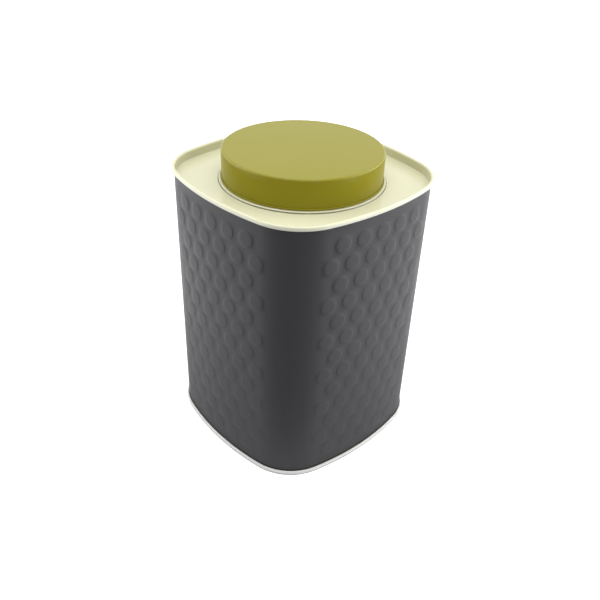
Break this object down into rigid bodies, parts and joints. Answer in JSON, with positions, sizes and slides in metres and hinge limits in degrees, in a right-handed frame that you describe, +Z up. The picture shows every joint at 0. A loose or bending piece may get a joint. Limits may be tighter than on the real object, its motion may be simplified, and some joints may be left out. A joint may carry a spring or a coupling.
{
  "type": "tea canister",
  "caption": "Square tinplate tea canister with bulged sides and rounded corners, rolled double seams, a sunk top with a round neck, and a lined slip lid that lifts off.",
  "frame": {"origin": "centre of the square outline, at the foot the tin stands on", "axes": "+Z up along the neck's axis, +X and +Y square to two neighbouring sides, with the wall's own lock seam on the +Y side"},
  "size_m": [0.1164, 0.1164, 0.1618],
  "materials": {
    "slate_enamel": "satin dark grey enamel on tinplate",
    "cream_enamel": "gloss cream enamel on tinplate",
    "olive_enamel": "gloss olive green enamel on tinplate",
    "white_moulding": "moulded white polyethylene",
    "clear_silicone": "translucent silicone"
  },
  "bodies": {
    "tin": {"body_wall": "slate_enamel", "top_plate": "cream_enamel", "bottom_plate": "cream_enamel", "neck_ring": "cream_enamel"},
    "lid": {"lid_cap": "olive_enamel", "lid_liner": "white_moulding", "lid_seal": "clear_silicone"}
  },
  "joints": [
    {"name": "lid_lift", "type": "slide", "parent": "tin", "child": "lid", "axis": [0, 0, 1], "range_m": [0, 0.05]}
  ]
}
